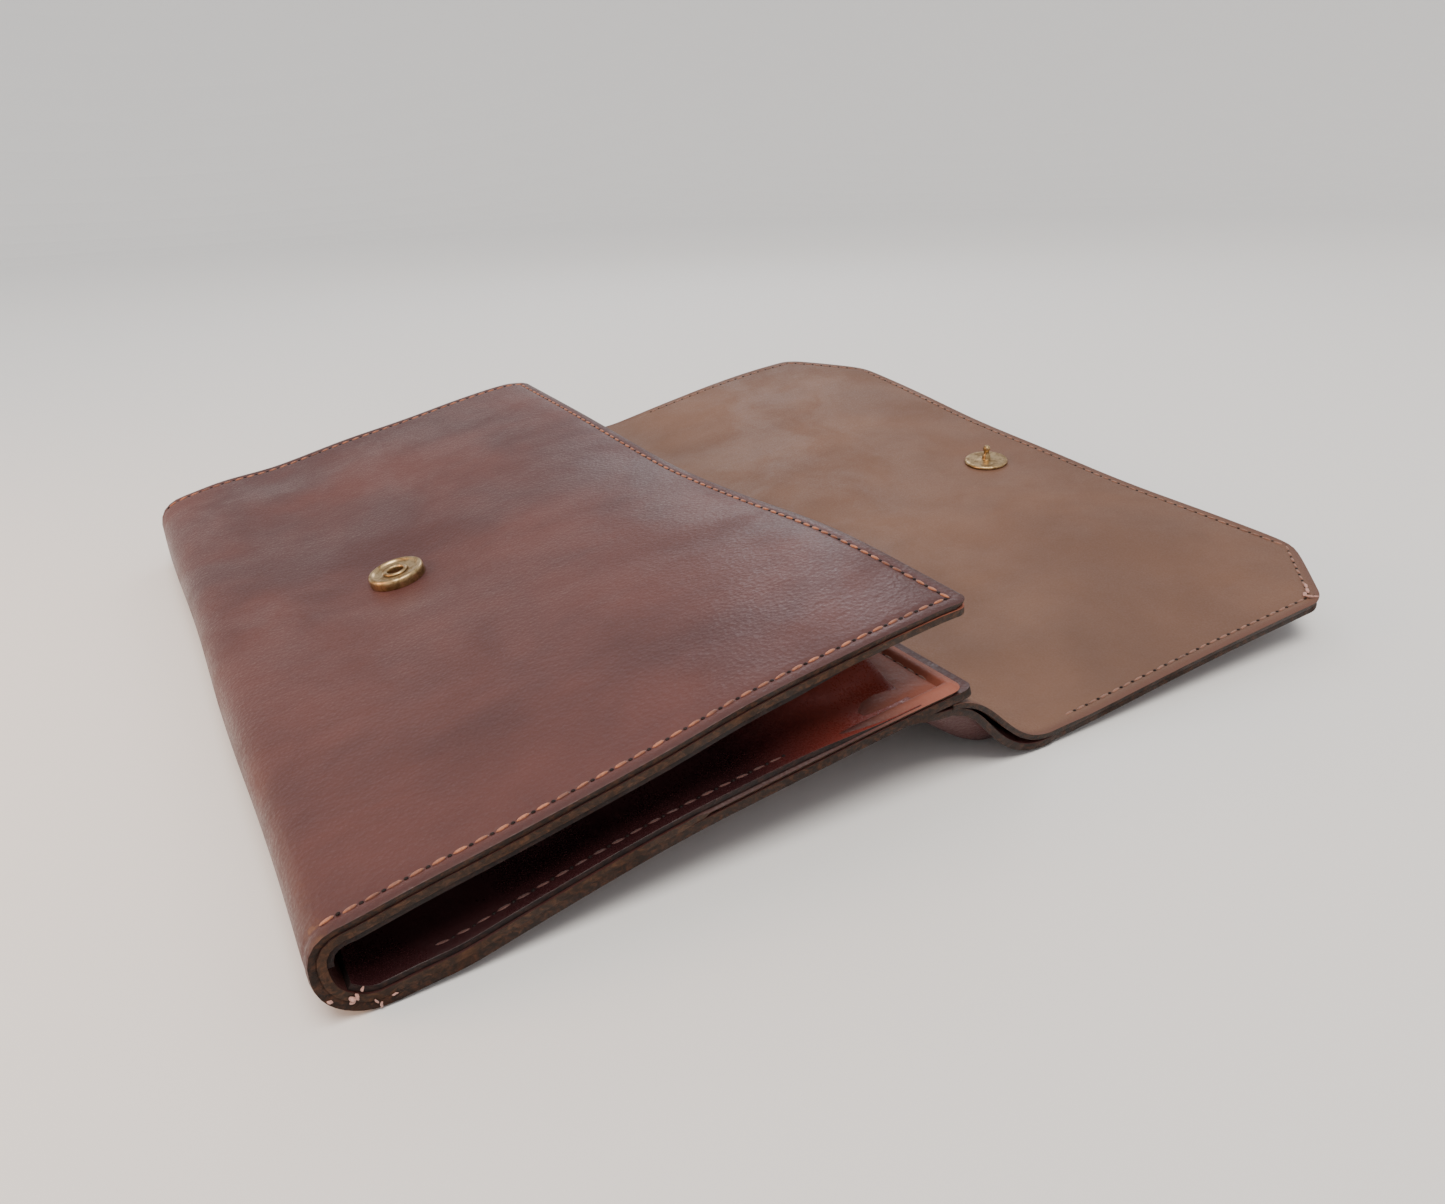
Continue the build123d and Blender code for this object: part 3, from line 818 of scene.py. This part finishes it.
def along_path(surface, corners, pitch):
    """Places at even steps of `pitch`: point, direction and upward normal on the surface."""
    fine = []
    for (a0, b0), (a1, b1) in zip(corners, corners[1:]):
        count = max(int(hypot(a1 - a0, b1 - b0) / 0.3), 1)
        fine += [(mix(a0, a1, i / count), mix(b0, b1, i / count)) for i in range(count)]
    fine.append(corners[-1])
    points = [surface(a, b) for a, b in fine]
    places, gone, due = [], 0.0, pitch / 2
    for i in range(len(points) - 1):
        length = (points[i + 1] - points[i]).length
        while gone + length >= due:
            share = (due - gone) / length
            a, b = mix(fine[i][0], fine[i + 1][0], share), mix(fine[i][1], fine[i + 1][1], share)
            up = (surface(a + 0.4, b) - surface(a - 0.4, b)).cross(surface(a, b + 0.4) - surface(a, b - 0.4))
            forward = (points[i + 1] - points[i]).normalized()
            places.append((points[i].lerp(points[i + 1], share), forward, up.normalized()))
            due += pitch
        gone += length
    return places


def turned_frame(point, forward, up, lean=0.0):
    forward = Quaternion(up, radians(lean)) @ forward
    across = up.cross(forward).normalized()
    up = forward.cross(across)
    turn = Matrix((forward, across, up)).transposed()
    return Matrix.Translation(point * MM) @ turn.to_4x4()


def sew(name, paths, body, thread_finish, size=(1.05, 0.29, 0.26), flip=False):
    """Paths are (surface, corners) pairs; size is half the stitch's length, width and height."""
    seam = bmesh.new()
    for surface, corners in paths:
        for i, (point, forward, up) in enumerate(along_path(surface, corners, PITCH)):
            up = -up if flip else up
            vary = 1 + 0.12 * sin(i * 2.4) + 0.08 * sin(i * 5.1)
            place = turned_frame(point + 0.04 * up, forward, up, 5 + 3 * sin(i * 1.7))
            scale = Matrix.Diagonal((size[0] * MM, size[1] * MM * vary, size[2] * MM, 1.0))
            bmesh.ops.create_uvsphere(seam, u_segments=8, v_segments=6, radius=1.0, matrix=place @ scale)
            known = len(seam.faces)
            # Painted shade: a flat near-black lozenge sits on the leather where the needle hole's shade
            # falls.
            hole = turned_frame(point + forward * PITCH / 2 + 0.02 * up, forward, up)
            scale = Matrix.Diagonal((0.36 * MM, 0.32 * MM, 0.16 * MM, 1.0))
            bmesh.ops.create_uvsphere(seam, u_segments=6, v_segments=4, radius=1.0, matrix=hole @ scale)
            seam.faces.ensure_lookup_table()
            for face in seam.faces[known:]:
                face.material_index = 1
    piece = make_piece(name, seam, thread_finish, needle_hole_shade)
    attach(piece, body)
    return piece


# %% Seams of the front, the back, the lining's nose and the flap
GROOVE = seam_press(SEAM)
INSET_X = HALF_WIDTH - SEAM


def front_surface(x, v):
    return body_at(x, FOLD_ARC + v, GROOVE - 0.05)


def back_surface(x, v):
    return body_at(x, -v, 0.4 * GROOVE - 0.02)


def nose_surface(x, v):
    return body_at(x * LINING_WIDTH, -v, UNDER_OUTER + LINING - 0.45)


def flange_surface(x, v):
    return body_at(x, -v, INSIDE + 0.02)


def flap_inner(x, w):
    return flap_at(x, w, 0.7 * GROOVE - 0.03)


def flap_outer(x, w):
    return flap_at(x, w, FLAP_THICK + 0.03 - GROOVE)


front_v = FRONT_LENGTH - SEAM
front_line = [(INSET_X, -3.0), (INSET_X, front_v), (-INSET_X, front_v), (-INSET_X, -3.0)]
front_seam = sew("front_seam_stitches", [(front_surface, front_line)], "front", thread)
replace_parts(front_seam, "front_seam_thread")

back_lines = [(back_surface, [(side * INSET_X, 4.0), (side * INSET_X, 98.0)]) for side in (1, -1)]
back_seams = sew("back_seam_stitches", back_lines, "pouch", dark_thread, (1.05, 0.28, 0.2))
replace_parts(back_seams, "back_seam_threads")

nose_v = BACK_LINING - NOSE_SEAM
nose_lines = [(nose_surface, [(94.5, nose_v), (-94.5, nose_v)])]
nose_seam = sew("back_mouth_stitches", nose_lines, "pouch", dark_thread, (1.2, 0.3, 0.26), True)
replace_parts(nose_seam, "back_mouth_thread")
flange_lines = [(flange_surface, [(side * 97.4, 8.0), (side * 97.4, SINK_START)]) for side in (1, -1)]
sew("gusset_stitches", flange_lines, "pouch", red_thread, (1.05, 0.24, 0.12), True)

CUT_STEP = SEAM * 0.414
cut_x = HALF_WIDTH - FLAP_CUT - CUT_STEP
flap_line = [(INSET_X, -90.5), (INSET_X, -FLAP_CUT - CUT_STEP), (cut_x, -SEAM), (-cut_x, -SEAM)]
flap_line += [(-INSET_X, -FLAP_CUT - CUT_STEP), (-INSET_X, -76.0)]
inner_lines, outer_lines = [(flap_inner, flap_line)], [(flap_outer, flap_line)]
flap_inner_seam = sew("flap_stitches_inside", inner_lines, "flap", dark_thread, (1.05, 0.25, 0.2))
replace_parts(flap_inner_seam, "flap_seam_thread_inside")
flap_outer_seam = sew("flap_stitches_outside", outer_lines, "flap", thread, (1.05, 0.29, 0.24), True)
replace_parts(flap_outer_seam, "flap_seam_thread_outside")
seams = (front_seam, back_seams, nose_seam, flap_inner_seam, flap_outer_seam)
print("seams:", ", ".join(seam.name for seam in seams))

# %% [markdown]
# ## Knots and thread tails
#
# Where a seam begins or ends the thread is knotted. The worn, pinkish ends show at the bottom of the
# near side and at the near cut corner of the flap.

# %% Knots at the body's bottom corners and tails on the flap
def lumps(name, places, body, finish):
    """Small tied lumps: each is (point, direction, half length, half thickness)."""
    knots = bmesh.new()
    for point, way, length, thick in places:
        way = Vector(way).normalized()
        place = Matrix.Translation(Vector(point) * MM) @ way.to_track_quat("X", "Z").to_matrix().to_4x4()
        scale = Matrix.Diagonal((length * MM, thick * MM, thick * 0.8 * MM, 1.0))
        bmesh.ops.create_icosphere(knots, subdivisions=2, radius=1.0, matrix=place @ scale)
    for vert in knots.verts:
        spot = vert.co / MM
        vert.co += Vector((sin(9 * spot.y), sin(8 * spot.z), sin(7 * spot.x))) * 0.06 * MM
    piece = make_piece(name, knots, finish)
    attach(piece, body)
    return piece


def side_spot(side, along, depth, out=0.15):
    point = body_at(side * HALF_WIDTH, along, depth)
    return Vector((side * (HALF_WIDTH + out), point.y, point.z))


knot_places = []
for side in (1, -1):
    knot_places += [
        (side_spot(side, 5.2, 2.0), (0.2, 1, -0.5), 0.55, 0.32),
        (side_spot(side, 4.5, 2.4), (0.1, 0.2, -1), 0.5, 0.3),
        (side_spot(side, 4.9, 1.5, 0.05), (0.1, 1, 0.4), 0.45, 0.26),
        (side_spot(side, 3.6, 3.4, -0.1), (0.1, 0.3, 1), 0.4, 0.26),
        (side_spot(side, 8.4, 0.7), (0.1, -1, 0.6), 0.5, 0.22),
        (side_spot(side, 0.4, 0.7), (0.1, 0.15, 1), 0.6, 0.2),
        (side_spot(side, 0.9, 1.4, 0.05), (0.1, -0.4, 1), 0.45, 0.17),
        (side_spot(side, -1.6, 1.3, -0.02), (0.1, 1, 0.2), 0.5, 0.13),
    ]
knots = lumps("seam_knots_tied", knot_places, "pouch", pink_thread)
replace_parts(knots, "seam_knots")


def flap_spot(x, w, up):
    return flap_at(x, w, -up)


tails = lumps(
    "thread_tails_tied",
    [
        (flap_spot(96.6, -20.2, 0.1), (-0.5, 1, 0.05), 1.2, 0.42),
        (flap_spot(97.8, -20.6, 0.25), (1, 0.35, 0.2), 0.9, 0.36),
        (flap_spot(96.0, -18.4, 0.15), (-0.8, 1, 0), 1.2, 0.36),
        (flap_spot(94.4, -16.6, 0.1), (-0.9, 1, 0), 1.1, 0.32),
        (flap_spot(98.6, -19.4, 0.15), (0.6, 1, 0), 0.7, 0.3),
    ],
    "flap",
    pink_thread,
)
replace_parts(tails, "thread_tails")
print("knots and tails tied")

# %% [markdown]
# ## The magnetic snap
#
# Both halves are turned brass, so each is half a section spun round its axis. The socket has a rolled
# rim, a shallow dish and an eyelet; the stud is a domed washer with a slim ball-headed post.

# %% Turned brass pieces
ACROSS = Vector((1, 0, 0))


def turned(name, section, foot, up, body, finish):
    """Spins (radius, height) marks round the axis through `foot`."""
    lathe = bmesh.new()
    rim = [lathe.verts.new((radius * MM, 0.0, height * MM)) for radius, height in section]
    for one, other in zip(rim, rim[1:]):
        lathe.edges.new((one, other))
    bmesh.ops.spin(
        lathe,
        geom=lathe.verts[:] + lathe.edges[:],
        cent=(0, 0, 0),
        axis=(0, 0, 1),
        angle=2 * pi,
        steps=72,
        use_merge=True,
    )
    bmesh.ops.remove_doubles(lathe, verts=lathe.verts[:], dist=0.002 * MM)
    bmesh.ops.recalc_face_normals(lathe, faces=lathe.faces[:])
    up = up.normalized()
    side = (ACROSS - up * ACROSS.dot(up)).normalized()
    turn = Matrix((side, up.cross(side), up)).transposed().to_4x4()
    lathe.transform(Matrix.Translation(foot * MM) @ turn)
    piece = make_piece(name, lathe, finish)
    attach(piece, body)
    return piece


SOCKET_UP = Vector((0, -sin(FRONT_SLOPE), cos(FRONT_SLOPE)))
SOCKET_FOOT = Vector((0, -72.417, 20.439)) - SOCKET_SINK * SOCKET_UP
cap_section = [
    (5.4, 0.02), (5.78, 0.0), (5.85, 0.12), (5.85, 1.3), (5.8, 1.72), (5.62, 2.02),
    (5.32, 2.18), (5.0, 2.16), (4.78, 2.02), (4.62, 1.82), (4.35, 1.74), (3.4, 1.7),
    (2.4, 1.69), (2.36, 1.3), (5.35, 1.28), (5.4, 0.02),
]
socket_cap = turned("socket_cap_rolled", cap_section, SOCKET_FOOT, SOCKET_UP, "front", brass)
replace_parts(socket_cap, "socket_cap")
eyelet_section = [
    (1.72, -1.85), (1.72, 1.7), (1.78, 1.95), (1.95, 2.1), (2.2, 2.13), (2.42, 2.04),
    (2.56, 1.86), (2.6, 1.72), (2.3, 1.7), (2.3, -1.85), (1.72, -1.85),
]
socket_eyelet = turned("socket_eyelet_rolled", eyelet_section, SOCKET_FOOT, SOCKET_UP, "front", brass)
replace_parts(socket_eyelet, "socket_eyelet")

STUD_FOOT = flap_at(0, -STUD_INSET)
plate_section = [
    (0.0, 0.02), (5.5, 0.0), (5.74, 0.1), (5.85, 0.38), (5.8, 0.66), (5.6, 0.86), (5.25, 0.95), (4.6, 0.93),
    (3.2, 0.9), (2.0, 0.96), (1.5, 1.04), (0.0, 1.04),
]
stud_plate = turned("stud_plate_pressed", plate_section, STUD_FOOT, FLAP_UP, "flap", brass)
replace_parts(stud_plate, "stud_plate")
post_section = [
    (0.0, 0.9), (1.3, 0.98), (1.22, 1.12), (1.12, 1.5), (1.1, 2.1), (0.92, 2.4), (0.76, 2.7), (0.74, 3.2),
    (0.8, 3.42), (0.92, 3.72), (0.96, 4.08), (0.9, 4.42), (0.72, 4.72), (0.42, 4.92), (0.0, 5.0),
]
stud_post = turned("stud_post_turned", post_section, STUD_FOOT, FLAP_UP, "flap", brass)
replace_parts(stud_post, "stud_post")


def ring(inner, outer, low, high):
    return [(inner, low), (outer, low), (outer, high), (inner, high), (inner, low)]


inside_pieces = [
    ("socket_magnet", ring(2.36, 5.3, 0.42, 1.2), SOCKET_FOOT, SOCKET_UP, "front", steel, "magnet"),
    ("socket_plate", ring(2.36, 5.3, 0.01, 0.38), SOCKET_FOOT, SOCKET_UP, "front", brass, "brass"),
    ("socket_washer", ring(2.4, 5.0, -1.9, -1.42), SOCKET_FOOT, SOCKET_UP, "front", steel, "washer_steel"),
    ("stud_washer", ring(0.8, 5.0, -1.4, -0.95), STUD_FOOT, FLAP_UP, "flap", steel, "washer_steel"),
]
for part_name, section, foot, up, body, finish, slot_name in inside_pieces:
    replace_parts(turned(part_name + "_inside", section, foot, up, body, finish), part_name)
print("snap: 4 turned pieces that show and", len(inside_pieces), "inside the leather")

# %% [markdown]
# ## Floor, light and camera
#
# A plain pale floor that sweeps up far away like a studio backdrop, one broad soft light above, a
# faint one behind the left side that wakes the polish, and a low warm one that tints the bottom fold.

# %% Stage
FLAT_RADIUS = 1.2
floor_grid = bmesh.new()
bmesh.ops.create_grid(floor_grid, x_segments=80, y_segments=80, size=3.0)
for vert in floor_grid.verts:
    vert.co.z = 0.55 * max(hypot(vert.co.x, vert.co.y) - FLAT_RADIUS, 0) ** 2
floor_mesh = bpy.data.meshes.new("floor")
floor_grid.to_mesh(floor_mesh)
floor_grid.free()
floor = bpy.data.objects.new("floor", floor_mesh)
floor.location.z = -0.0004
bpy.context.scene.collection.objects.link(floor)
pale, _, pale_surface = start_paint("pale floor")
pale_surface.inputs["Base Color"].default_value = colour(0.78, 0.78, 0.78)
pale_surface.inputs["Roughness"].default_value = 0.9
pale_surface.inputs["Specular IOR Level"].default_value = 0.1
floor_mesh.materials.append(pale)

world = bpy.data.worlds.new("studio")
world.use_nodes = True
world.node_tree.nodes["Background"].inputs["Color"].default_value = colour(0.9, 0.9, 0.92)
world.node_tree.nodes["Background"].inputs["Strength"].default_value = 0.75
bpy.context.scene.world = world


def soft_light(name, place, target, size, watts, tint):
    lamp = bpy.data.lights.new(name, "AREA")
    lamp.shape, lamp.size, lamp.energy, lamp.color = "SQUARE", size, watts, tint
    made = bpy.data.objects.new(name, lamp)
    made.location = place
    made.rotation_euler = (Vector(target) - Vector(place)).to_track_quat("-Z", "Y").to_euler()
    bpy.context.scene.collection.objects.link(made)
    return made


soft_light("light above", (0.75, -0.3, 2.1), (0, 0, 0), 1.2, 52.0, (1.0, 0.93, 0.84))
soft_light("light behind", (-0.5, 0.3, 0.42), (0, -0.02, 0.02), 0.22, 0.5, (0.94, 0.93, 1.0))
soft_light("warm low light", (-0.02, -0.4, 0.17), (0.02, -0.1, 0.0), 0.16, 0.8, (1.0, 0.5, 0.2))

# %% Camera
camera_data = bpy.data.cameras.new("camera")
camera_data.lens, camera_data.sensor_width = 26.67, 36.0
camera_data.clip_start, camera_data.clip_end = 0.01, 10.0
camera = bpy.data.objects.new("camera", camera_data)
camera.location = (0.21606, -0.11411, 0.10213)
look = Vector((-0.80208, 0.44366, -0.39979)).to_track_quat("-Z", "Y")
camera.rotation_euler = (look @ Quaternion((0, 0, 1), radians(-2.22))).to_euler()
bpy.context.scene.collection.objects.link(camera)
bpy.context.scene.camera = camera
turn = camera.rotation_euler.to_matrix()
print("camera right", [round(c, 4) for c in turn.col[0]], "up", [round(c, 4) for c in turn.col[1]])
